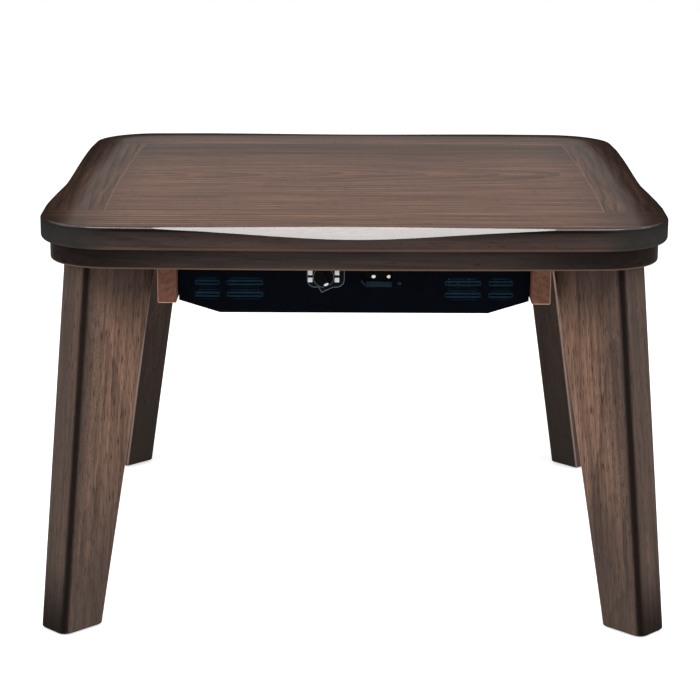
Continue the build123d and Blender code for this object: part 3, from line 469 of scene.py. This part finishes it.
def legWood(name, index):
    material, tree, surface = newMaterial(name)
    place = coordinates(tree)
    angle = -radians(legLook["firstAngle"] + legLook["nextAngle"] * index)
    parts = split(tree, mapping(tree, place, turn=(0, 0, angle)))
    climb = calc(tree, "DIVIDE", parts["Z"], table["rimFloor"])
    inner, outer = [spread(tree, climb, 0.0, 1.0, low, high, smooth=False)
                    for low, high in zip(table["legFoot"], table["legTop"])]
    share = spread(tree, parts["X"], inner, outer, smooth=False)
    along = join(tree, parts["Z"], calc(tree, "SUBTRACT", parts["X"], outer), parts["Y"])
    grain = useGroup(tree, woodGrain, Vector=along, Seed=legLook["nextSeed"] * index, **legLook["grain"])
    color = stainedWood(tree, grain, stain["legLight"], stain["legDark"], **legLook["pattern"])
    # darker towards the outer side, the top and the foot
    spray = noise(tree, place, **legLook["spray"])
    spray = calc(tree, "MULTIPLY_ADD", spray, legLook["sprayShare"],
                 calc(tree, "SUBTRACT", share, legLook["sprayMiddle"]))
    ends = calc(tree, "MAXIMUM", spread(tree, climb, *legLook["top"]), spread(tree, climb, *legLook["lower"]))
    shade = calc(tree, "MAXIMUM", spread(tree, spray, *legLook["outerSide"]), ends)
    color = blendColor(tree, shade, color, stain["legOuter"])
    foot = times(tree, spread(tree, climb, *legLook["foot"]), spread(tree, share, *legLook["footCorner"]))
    color = blendColor(tree, times(tree, foot, legLook["footShare"]), color, stain["outer"])
    # a dark inner end, painted shade as a dark line down each outer round, and a painted highlight down each
    # inner round
    facing = split(tree, mapping(tree, coordinates(tree, "Normal"), turn=(0, 0, angle)))
    color = blendColor(tree, spread(tree, facing["X"], *legLook["innerEnd"]), color, stain["legInner"])
    lesser = calc(tree, "MINIMUM", calc(tree, "ABSOLUTE", facing["X"]), calc(tree, "ABSOLUTE", facing["Y"]))
    rounds = spread(tree, lesser, *legLook["rounds"])
    outwards = spread(tree, facing["X"], *legLook["outwards"])
    outerRoundShade = times(tree, times(tree, rounds, outwards), legLook["outerShadeShare"])
    color = blendColor(tree, outerRoundShade, color, stain["outer"])
    inwards = calc(tree, "SUBTRACT", 1.0, outwards)
    innerRoundHighlight = times(tree, times(tree, rounds, inwards), legLook["innerHighlightShare"])
    color = blendColor(tree, innerRoundHighlight, color, stain["legArrisHighlight"])
    finishWood(tree, surface, color, grain, fibreRoughness(tree, grain))
    return material


railLook = {
    "grain": {"RingsPerMetre": 150.0, "Depth": 0.02, "Taper": 0.05, "Seed": 4.1},
    "pattern": {"rings": 0.4, "streaks": 0.3, "bands": 0.3, "pores": 0.6},
    "highlightStart": 0.0016, "highlightFull": 0.0003,    # in from the outer side and up from the underside
    "leaning": (0.99, 0.93), "rough": 0.5,
}


def railWood():
    material, tree, surface = newMaterial("cross rail wood")
    place = coordinates(tree)
    along = mapping(tree, place, turn=(0, 0, quarterTurn))
    grain = useGroup(tree, woodGrain, Vector=along, **railLook["grain"])
    color = stainedWood(tree, grain, stain["railLight"], stain["railDark"], **railLook["pattern"])
    # a painted highlight on the arrises of the outer side and the underside
    parts = split(tree, place)
    low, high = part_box("cross_rail_left")
    middle = -(low.x + high.x) / 2
    reach = (high.x - low.x) / 2
    side = calc(tree, "SUBTRACT", calc(tree, "ABSOLUTE", parts["X"]), middle)
    outward = spread(tree, side, reach - railLook["highlightStart"], reach - railLook["highlightFull"])
    under = spread(tree, parts["Z"], low.z + railLook["highlightStart"], low.z + railLook["highlightFull"])
    facing = split(tree, unsigned(tree, coordinates(tree, "Normal")))
    flat = calc(tree, "MAXIMUM", facing["X"], calc(tree, "MAXIMUM", facing["Y"], facing["Z"]))
    railHighlightMask = times(tree, calc(tree, "MAXIMUM", outward, under), spread(tree, flat, *railLook["leaning"]))
    color = blendColor(tree, railHighlightMask, color, stain["railArrisHighlight"])
    finishWood(tree, surface, color, grain, fibreRoughness(tree, grain, railLook["rough"]))
    return material


plainLook = {
    "grain": {"RingsPerMetre": 260.0, "Depth": 0.04, "Taper": 0.1},
    "pattern": {"rings": 0.6, "streaks": 0.3, "bands": 0.3, "pores": 0.3},
    "rough": 0.6,
}
plainPieces = {
    "corner_blocks": {
        "name": "corner block wood", "turn": 0.78, "tones": ("legLight", "legDark"), "seed": 2.2},
    "rim_dowels": {"name": "beech dowel", "turn": quarterTurn, "tones": ("raw", "rawDark"), "seed": 3.1},
    "top_splines": {"name": "spline ply", "turn": 0.0, "tones": ("raw", "rawDark"), "seed": 5.5},
}


def plainWood(look):
    material, tree, surface = newMaterial(look["name"])
    along = mapping(tree, coordinates(tree), turn=(0, 0, look["turn"]))
    grain = useGroup(tree, woodGrain, Vector=along, Seed=look["seed"], **plainLook["grain"])
    light, dark = [stain[tone] for tone in look["tones"]]
    color = stainedWood(tree, grain, light, dark, **plainLook["pattern"])
    finishWood(tree, surface, color, grain, fibreRoughness(tree, grain, plainLook["rough"]))
    return material


for boardNode, board in topBoards.items():
    dress(topWood(board), boardNode)
for boardName, board in rimBoards.items():
    dress(rimWood(boardName, board), *board["nodes"])
for index, legName in enumerate(("leg_rear_right", "leg_rear_left", "leg_front_left", "leg_front_right")):
    dress(legWood(legName.replace("_", " ") + " wood", index), legName)
dress(railWood(), "cross_rail_left", "cross_rail_right")
for pieceNode, look in plainPieces.items():
    dress(plainWood(look), pieceNode)
print("wood finished")

# metal, plastic, rubber and ceramic: two tones, roughness, depth of the bumps and size of the mottling
finishes = {
    "black enamel": {
        "color": (0.0010, 0.0018, 0.0045), "other": (0.0016, 0.0026, 0.0060), "rough": 0.34, "shine": 0.02,
        "depth": 0.00004, "size": 90.0, "nodes": ("heater_housing", "heater_bulkhead")},
    "guard enamel": {
        "color": (0.010, 0.010, 0.012), "other": (0.022, 0.022, 0.024), "rough": 0.4,
        "depth": 0.00003, "size": 120.0, "nodes": ("guard_frame", "guard_wires")},
    "zinc plated steel": {
        "color": (0.55, 0.56, 0.58), "other": (0.36, 0.36, 0.37), "rough": 0.32, "metal": 1.0,
        "depth": 0.00002, "size": 240.0,
        "nodes": ("leg_bolts", "leg_washers", "rail_screws", "heater_screws",
                  "reflector_screws", "terminal_screws", "thermostat_nut", "guard_rivets")},
    "blackened steel": {
        "color": (0.010, 0.020, 0.032), "other": (0.022, 0.034, 0.048), "rough": 0.5, "shine": 0.1,
        "depth": 0.00002, "size": 240.0, "nodes": ("inlet_screw",)},
    "bright steel": {
        "color": (0.62, 0.61, 0.60), "other": (0.42, 0.41, 0.40), "rough": 0.26, "metal": 1.0,
        "depth": 0.00002, "size": 200.0, "nodes": ("dial_shaft", "reflector_spacers", "tube_brackets")},
    "yellow brass": {
        "color": (0.78, 0.57, 0.24), "other": (0.52, 0.36, 0.16), "rough": 0.3, "metal": 1.0,
        "depth": 0.00002, "size": 240.0, "nodes": ("leg_inserts",)},
    "nickel plate": {
        "color": (0.80, 0.79, 0.76), "other": (0.60, 0.59, 0.56), "rough": 0.12, "metal": 1.0,
        "depth": 0.00001, "size": 300.0, "nodes": ("inlet_pins",)},
    "bright aluminium": {
        "color": (0.78, 0.79, 0.80), "other": (0.62, 0.63, 0.64), "rough": 0.18, "metal": 1.0,
        "depth": 0.00003, "size": 60.0, "nodes": ("reflector",)},
    "spun aluminium": {
        "color": (0.70, 0.70, 0.70), "other": (0.48, 0.48, 0.48), "rough": 0.35, "metal": 1.0,
        "depth": 0.00002, "size": 300.0, "nodes": ("overheat_cutout",)},
    "oxidised wire": {
        "color": (0.16, 0.13, 0.12), "other": (0.30, 0.27, 0.24), "rough": 0.5, "metal": 1.0,
        "depth": 0.00003, "size": 500.0, "nodes": ("heating_coils",)},
    "vent plate plastic": {
        "color": (0.005, 0.019, 0.033), "other": (0.009, 0.027, 0.044), "rough": 0.6, "shine": 0.05,
        "depth": 0.00004, "size": 160.0, "nodes": ("vent_louvres",)},
    "control plastic": {
        "color": (0.012, 0.013, 0.016), "other": (0.022, 0.023, 0.026), "rough": 0.45,
        "depth": 0.00004, "size": 180.0, "nodes": ("thermostat", "terminal_block")},
    "white print": {
        "color": (0.95, 0.96, 0.97), "other": (0.90, 0.91, 0.92), "rough": 0.4,
        "depth": 0.00001, "size": 400.0, "nodes": ("dial_marks", "dial_pointer")},
    "glide plastic": {
        "color": (0.045, 0.032, 0.026), "other": (0.075, 0.055, 0.045), "rough": 0.55,
        "depth": 0.00008, "size": 150.0, "nodes": ("leg_glides",)},
    "pad rubber": {
        "color": (0.016, 0.016, 0.016), "other": (0.032, 0.031, 0.030), "rough": 0.75,
        "depth": 0.00010, "size": 200.0, "nodes": ("top_pads", "lead_grommet")},
    "silicone lead": {
        "color": (0.62, 0.61, 0.57), "other": (0.50, 0.49, 0.45), "rough": 0.5,
        "depth": 0.00004, "size": 260.0, "nodes": ("lead_wires",)},
    "cap ceramic": {
        "color": (0.80, 0.77, 0.70), "other": (0.66, 0.62, 0.55), "rough": 0.6,
        "depth": 0.00006, "size": 180.0, "nodes": ("tube_caps",)},
}
plainWear = {
    "mottle": (0.35, 0.7), "scratchShare": 0.35, "middle": (0.3, 0.7),
    "smoother": 0.05, "rougher": 0.07, "shine": 0.2,
}


def plainFinish(name, look):
    material, tree, surface = newMaterial(name)
    wear = useGroup(tree, fineWear, Vector=coordinates(tree), Size=look["size"])
    color = blendColor(tree, spread(tree, wear["Mottle"], *plainWear["mottle"]), look["color"], look["other"])
    color = blendColor(tree, times(tree, wear["Scratch"], plainWear["scratchShare"]), color, look["other"])
    low, high = look["rough"] - plainWear["smoother"], look["rough"] + plainWear["rougher"]
    feed(tree, surface, {
        "Base Color": color, "Roughness": spread(tree, wear["Mottle"], *plainWear["middle"], low, high),
        "Metallic": look.get("metal", 0.0), "Specular IOR Level": look.get("shine", plainWear["shine"]),
        "Normal": bump(tree, wear["Speck"], look["depth"])})
    return material


plainMaterials = {name: plainFinish(name, look) for name, look in finishes.items()}
for name, look in finishes.items():
    dress(plainMaterials[name], *look["nodes"])

quartz = {
    "size": 140.0, "mottle": (0.3, 0.7), "color": (0.93, 0.90, 0.86), "other": (0.84, 0.80, 0.75),
    "roughness": (0.3, 0.7, 0.12, 0.24), "clear": 0.85, "refraction": 1.46, "depth": 0.00003,
}


def quartzGlass():
    material, tree, surface = newMaterial("satin quartz")
    wear = useGroup(tree, fineWear, Vector=coordinates(tree), Size=quartz["size"])
    mottle = spread(tree, wear["Mottle"], *quartz["mottle"])
    feed(tree, surface, {
        "Base Color": blendColor(tree, mottle, quartz["color"], quartz["other"]),
        "Roughness": spread(tree, wear["Mottle"], *quartz["roughness"]),
        "Transmission Weight": quartz["clear"], "IOR": quartz["refraction"],
        "Normal": bump(tree, wear["Speck"], quartz["depth"])})
    return material


gloss = {
    "size": 200.0, "mottleShare": 0.5, "otherTone": 1.6, "depth": 0.00002, "shine": 0.05,
    "fromFront": (-0.97, -0.88), "toSide": (-0.25, -0.4),      # how a moulded edge faces, front is -1
    "roughness": (0.3, 0.7, 0.10, 0.20),
    # the edge tones are painted highlights
    "bezel": {"flat": (0.0025, 0.0035, 0.0060), "edge": (0.115, 0.140, 0.170)},
    "dial": {"flat": (0.0014, 0.0016, 0.0022), "edge": (0.180, 0.195, 0.215)},
}


def glossyPlastic(name, flat, edge):
    # polished black, with painted highlights on the moulded edges
    material, tree, surface = newMaterial(name)
    wear = useGroup(tree, fineWear, Vector=coordinates(tree), Size=gloss["size"])
    facing = split(tree, coordinates(tree, "Normal"))["Y"]
    rounded = times(tree, spread(tree, facing, *gloss["fromFront"]), spread(tree, facing, *gloss["toSide"]))
    other = [gloss["otherTone"] * part for part in flat]
    mottled = blendColor(tree, times(tree, wear["Mottle"], gloss["mottleShare"]), flat, other)
    feed(tree, surface, {
        "Base Color": blendColor(tree, rounded, mottled, edge),
        "Roughness": spread(tree, wear["Mottle"], *gloss["roughness"]), "Specular IOR Level": gloss["shine"],
        "Normal": bump(tree, wear["Speck"], gloss["depth"])})
    return material


inlet = {
    "size": 180.0, "depth": 0.00003, "shine": 0.06, "roughness": (0.3, 0.7, 0.42, 0.55), "ledge": (0.5, 0.8),
    "wallTones": ((0.0012, 0.0014, 0.0020), (0.0030, 0.0034, 0.0044)),
    "ledgePaintedLight": ((0.11, 0.22, 0.34), (0.15, 0.29, 0.43)),
}


def inletPlastic():
    # the recess is black, and its sloping floor is painted blue-grey as painted light
    material, tree, surface = newMaterial("inlet plastic")
    wear = useGroup(tree, fineWear, Vector=coordinates(tree), Size=inlet["size"])
    walls = blendColor(tree, wear["Mottle"], *inlet["wallTones"])
    ledge = blendColor(tree, wear["Mottle"], *inlet["ledgePaintedLight"])
    upwards = spread(tree, split(tree, coordinates(tree, "Normal"))["Z"], *inlet["ledge"])
    feed(tree, surface, {
        "Base Color": blendColor(tree, upwards, walls, ledge),
        "Roughness": spread(tree, wear["Mottle"], *inlet["roughness"]), "Specular IOR Level": inlet["shine"],
        "Normal": bump(tree, wear["Speck"], inlet["depth"])})
    return material


dress(quartzGlass(), "quartz_tubes")
dress(inletPlastic(), "inlet_socket")
dress(glossyPlastic("bezel plastic", **gloss["bezel"]), "dial_bezel")
dress(glossyPlastic("dial plastic", **gloss["dial"]), "dial")
print("metal, plastic and glass finished")


# pieces made here: wound coils, round guard wires, cross-recess screws
def deselectAll():
    bpy.ops.object.select_all(action="DESELECT")


def pickFaces(mesh, wanted):
    # select only the faces that the test accepts, with edit mode left and entered again
    bpy.ops.mesh.select_mode(type="FACE")
    bpy.ops.mesh.select_all(action="DESELECT")
    bpy.ops.object.mode_set(mode="OBJECT")
    for face in mesh.polygons:
        face.select = wanted(face)
    bpy.ops.object.mode_set(mode="EDIT")


def applyModifier(piece, kind, **settings):
    bpy.context.view_layer.objects.active = piece
    bpy.ops.object.modifier_add(type=kind)
    modifier = piece.modifiers[-1]
    for name, value in settings.items():
        setattr(modifier, name, value)
    bpy.ops.object.modifier_apply(modifier=modifier.name)


def copyTo(piece, places):
    # the piece itself goes to the first place, a copy with its own mesh to each of the others
    copies = [piece]
    for place in places[1:]:
        deselectAll()
        piece.select_set(True)
        bpy.context.view_layer.objects.active = piece
        bpy.ops.object.duplicate(linked=False)
        bpy.context.object.location = place
        copies.append(bpy.context.object)
    piece.location = places[0]
    deselectAll()
    for copy in copies:
        copy.select_set(True)
    bpy.context.view_layer.objects.active = piece
    bpy.ops.object.join()
    bpy.ops.object.transform_apply(location=True, rotation=True, scale=True)


def finishPiece(piece, name, slot, body, material, *replaced):
    piece.name = name
    piece.data.name = name
    piece.data.materials.clear()
    piece.data.materials.append(material)
    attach(piece, body)
    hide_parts(*replaced)
    deselectAll()
    print("made", name)


weldDigits = 6      # corners that agree to this many decimals of a metre are one


def islandCentres(name):
    # middle of each separate solid of a CAD node
    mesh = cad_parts[name].data
    parent = list(range(len(mesh.vertices)))
    corner = {}
    for vertex in mesh.vertices:
        key = tuple(round(part, weldDigits) for part in vertex.co)
        parent[vertex.index] = corner.setdefault(key, vertex.index)

    def root(index):
        while parent[index] != index:
            index = parent[index]
        return index

    for edge in mesh.edges:
        first, second = root(edge.vertices[0]), root(edge.vertices[1])
        parent[max(first, second)] = min(first, second)
    islands = {}
    for vertex in mesh.vertices:
        islands.setdefault(root(vertex.index), []).append(vertex.co)
    centres = []
    for points in islands.values():
        low = Vector([min(point[axis] for point in points) for axis in range(3)])
        high = Vector([max(point[axis] for point in points) for axis in range(3)])
        centres.append((low + high) / 2)
    return sorted(centres, key=lambda place: tuple(place))


coil = {"wire": 0.00045, "pitch": 0.0038, "sides": 6, "stepsPerTurn": 14, "weld": 0.00001}


def woundCoils():
    low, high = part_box("heating_coils")
    centres = islandCentres("heating_coils")
    turns = int((high.x - low.x - 2 * coil["wire"]) / coil["pitch"])
    start = -turns * coil["pitch"] / 2
    reach = (high.z - low.z) / 2 - coil["wire"]
    bpy.ops.mesh.primitive_circle_add(vertices=coil["sides"], radius=coil["wire"],
                                      rotation=(quarterTurn, 0, 0))
    piece = bpy.context.object
    bpy.ops.object.mode_set(mode="EDIT")
    bpy.ops.transform.translate(value=(start, 0, reach))
    bpy.ops.object.mode_set(mode="OBJECT")
    applyModifier(piece, "SCREW", axis="X", screw_offset=coil["pitch"], iterations=turns,
                  steps=coil["stepsPerTurn"], render_steps=coil["stepsPerTurn"])
    bpy.ops.object.mode_set(mode="EDIT")
    bpy.ops.mesh.select_all(action="SELECT")
    bpy.ops.mesh.remove_doubles(threshold=coil["weld"])
    bpy.ops.mesh.select_mode(type="EDGE")
    bpy.ops.mesh.select_all(action="DESELECT")
    bpy.ops.mesh.select_non_manifold()
    bpy.ops.mesh.fill_holes(sides=coil["sides"])
    bpy.ops.mesh.select_all(action="SELECT")
    bpy.ops.mesh.normals_make_consistent(inside=False)
    bpy.ops.object.mode_set(mode="OBJECT")
    bpy.ops.object.shade_smooth()
    copyTo(piece, [Vector((0, centre.y, centre.z)) for centre in centres])
    finishPiece(piece, "wound_coils", "coil_steel", "frame", plainMaterials["oxidised wire"], "heating_coils")


guardWire = {"sides": 12, "radius": 0.001, "round": 0.0004, "roundSteps": 2, "smoothUnder": radians(40)}


def roundGuardWires():
    low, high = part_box("guard_wires")
    centres = islandCentres("guard_wires")
    bpy.ops.mesh.primitive_cylinder_add(vertices=guardWire["sides"], radius=guardWire["radius"],
                                        depth=high.y - low.y, rotation=(quarterTurn, 0, 0))
    piece = bpy.context.object
    bpy.ops.object.mode_set(mode="EDIT")
    pickFaces(piece.data, lambda face: len(face.vertices) == guardWire["sides"])     # the two ends
    bpy.ops.mesh.bevel(offset=guardWire["round"], segments=guardWire["roundSteps"], affect="EDGES")
    bpy.ops.object.mode_set(mode="OBJECT")
    bpy.ops.object.shade_smooth_by_angle(angle=guardWire["smoothUnder"])
    copyTo(piece, centres)
    finishPiece(piece, "round_guard_wires", "housing_black", "frame", plainMaterials["guard enamel"],
                "guard_wires")


# head radius and height, shank radius, and by how many degrees the head is tipped forward from upright
screws = {
    "heater_screws": {"head": (0.004, 0.0024), "shank": 0.002, "tip": 0, "finish": "zinc plated steel"},
    "reflector_screws": {"head": (0.003, 0.0015), "shank": 0.0015, "tip": 0, "finish": "zinc plated steel"},
    "rail_screws": {"head": (0.004, 0.003), "shank": 0.0022, "tip": 180, "finish": "zinc plated steel"},
    "inlet_screw": {"head": (0.0018, 0.0012), "shank": 0.0012, "tip": 90, "finish": "blackened steel"},
    "terminal_screws": {"head": (0.0022, 0.0015), "shank": None, "tip": 0, "finish": "zinc plated steel"},
}
recess = {"arm": 0.62, "width": 0.17, "depth": 0.55}      # shares of the head's radius
screwHead = {"sides": 32, "roundShare": 0.35, "roundSteps": 3, "endFacing": 0.9, "smoothUnder": radians(35)}


def crossScrew(nodeName, look):
    radius, height = look["head"]
    low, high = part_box(nodeName)
    axis = 1 if look["tip"] == 90 else 2
    total = high[axis] - low[axis]
    bpy.ops.mesh.primitive_cylinder_add(vertices=screwHead["sides"], radius=radius, depth=height,
                                        location=(0, 0, -height / 2))
    piece = bpy.context.object
    bpy.ops.object.transform_apply(location=True)
    bpy.ops.object.mode_set(mode="EDIT")
    if look["shank"]:
        pickFaces(piece.data, lambda face: face.normal.z < -screwHead["endFacing"])
        bpy.ops.mesh.inset(thickness=radius - look["shank"])
        bpy.ops.mesh.extrude_region_move(TRANSFORM_OT_translate={"value": (0, 0, height - total)})
    pickFaces(piece.data, lambda face: face.normal.z > screwHead["endFacing"])
    bpy.ops.mesh.bevel(offset=height * screwHead["roundShare"], segments=screwHead["roundSteps"],
                       affect="EDGES")
    bpy.ops.object.mode_set(mode="OBJECT")
    arm, width, depth = [radius * recess[name] for name in ("arm", "width", "depth")]
    for size in ((2 * arm, width, 2 * depth), (width, 2 * arm, 2 * depth)):
        deselectAll()
        bpy.ops.mesh.primitive_cube_add(size=1, location=(0, 0, 0), scale=size)
        cutter = bpy.context.object
        bpy.ops.object.transform_apply(location=True, rotation=True, scale=True)
        deselectAll()
        piece.select_set(True)
        applyModifier(piece, "BOOLEAN", operation="DIFFERENCE", object=cutter, solver="EXACT")
        bpy.data.objects.remove(cutter)
    deselectAll()
    piece.select_set(True)
    bpy.context.view_layer.objects.active = piece
    bpy.ops.object.shade_smooth_by_angle(angle=screwHead["smoothUnder"])
    piece.rotation_euler = (radians(look["tip"]), 0, 0)
    bpy.ops.object.transform_apply(location=False, rotation=True, scale=False)
    places = islandCentres(nodeName)
    for place in places:
        place[axis] = {0: high.z, 180: low.z, 90: low.y}[look["tip"]]      # the face of the head
    copyTo(piece, places)
    finishPiece(piece, "cross_" + nodeName, "screw_steel", "frame", plainMaterials[look["finish"]], nodeName)


woundCoils()
roundGuardWires()
for screwName, look in screws.items():
    crossScrew(screwName, look)

# floor, light and camera
studio = {"white": 1.0, "ambient": 0.55}
ground = {"size": 12.0, "drop": 0.0005, "color": (0.92, 0.92, 0.92), "rough": 0.9, "glow": 0.62}
lamps = {
    "overhead softbox": {
        "place": (0.0, -0.75, 1.55), "aim": (0, -0.05, 0.38), "size": (1.8, 0.9), "power": 23.0},
    "left softbox": {
        "place": (-2.0, -0.7, 0.9), "aim": (0, 0, 0.25), "size": (1.2, 1.4), "power": 14.0},
    "right softbox": {
        "place": (2.0, -0.7, 0.9), "aim": (0, 0, 0.25), "size": (1.2, 1.4), "power": 16.0},
    "strip light": {
        "place": (0.0, -0.62, 1.75), "aim": (0, -0.29, 0.39), "size": (2.2, 0.34), "power": 21.0},
}
glossOnly = ("strip light",)      # lamps that only the polish reflects
view = {
    "place": (-0.0058, -2.2034, 0.7616), "pitch": 0.2465, "roll": -0.0045,
    "focal": 2129.3, "pixels": 700, "sensor": 36.0,
}


def addLamp(name, look):
    light = bpy.data.lights.new(name, "AREA")
    light.shape = "RECTANGLE"
    light.size, light.size_y = look["size"]
    light.energy = look["power"]
    lamp = bpy.data.objects.new(name, light)
    bpy.context.scene.collection.objects.link(lamp)
    place = Vector(look["place"])
    lamp.location = place
    lamp.rotation_euler = (place - Vector(look["aim"])).to_track_quat("Z", "Y").to_euler()
    lamp.visible_diffuse = name not in glossOnly


def addWorld():
    world = bpy.data.worlds.new("studio")
    bpy.context.scene.world = world
    world.use_nodes = True
    tree = world.node_tree
    rays = tree.nodes.new("ShaderNodeLightPath").outputs
    seen = calc(tree, "MAXIMUM", rays["Is Camera Ray"], rays["Is Glossy Ray"])
    seen = calc(tree, "MAXIMUM", seen, rays["Is Transmission Ray"])
    strength = spread(tree, seen, 0.0, 1.0, studio["ambient"], studio["white"], smooth=False)
    feed(tree, tree.nodes["Background"].inputs, {"Strength": strength, "Color": (1, 1, 1, 1)})


def addFloor():
    bpy.ops.mesh.primitive_plane_add(size=ground["size"], location=(0, 0, -ground["drop"]))
    floor = bpy.context.object
    floor.name = "studio_floor"
    material, tree, surface = newMaterial("pale floor")
    rays = tree.nodes.new("ShaderNodeLightPath").outputs
    glow = times(tree, rays["Is Camera Ray"], ground["glow"])
    feed(tree, surface, {
        "Base Color": (*ground["color"], 1), "Roughness": ground["rough"], "Specular IOR Level": 0.0,
        "Emission Color": (1, 1, 1, 1), "Emission Strength": glow})
    floor.data.materials.append(material)
    deselectAll()


def addCamera():
    camera = bpy.data.objects.new("camera", bpy.data.cameras.new("camera"))
    bpy.context.scene.collection.objects.link(camera)
    camera.data.sensor_width = view["sensor"]
    camera.data.lens = view["focal"] * view["sensor"] / view["pixels"]
    camera.location = view["place"]
    camera.rotation_mode = "XYZ"
    camera.rotation_euler = (quarterTurn - view["pitch"], view["roll"], 0)
    bpy.context.scene.camera = camera


addWorld()
addFloor()
for lampName, look in lamps.items():
    addLamp(lampName, look)
addCamera()
bpy.context.scene.view_settings.view_transform = "Standard"
print("studio set")
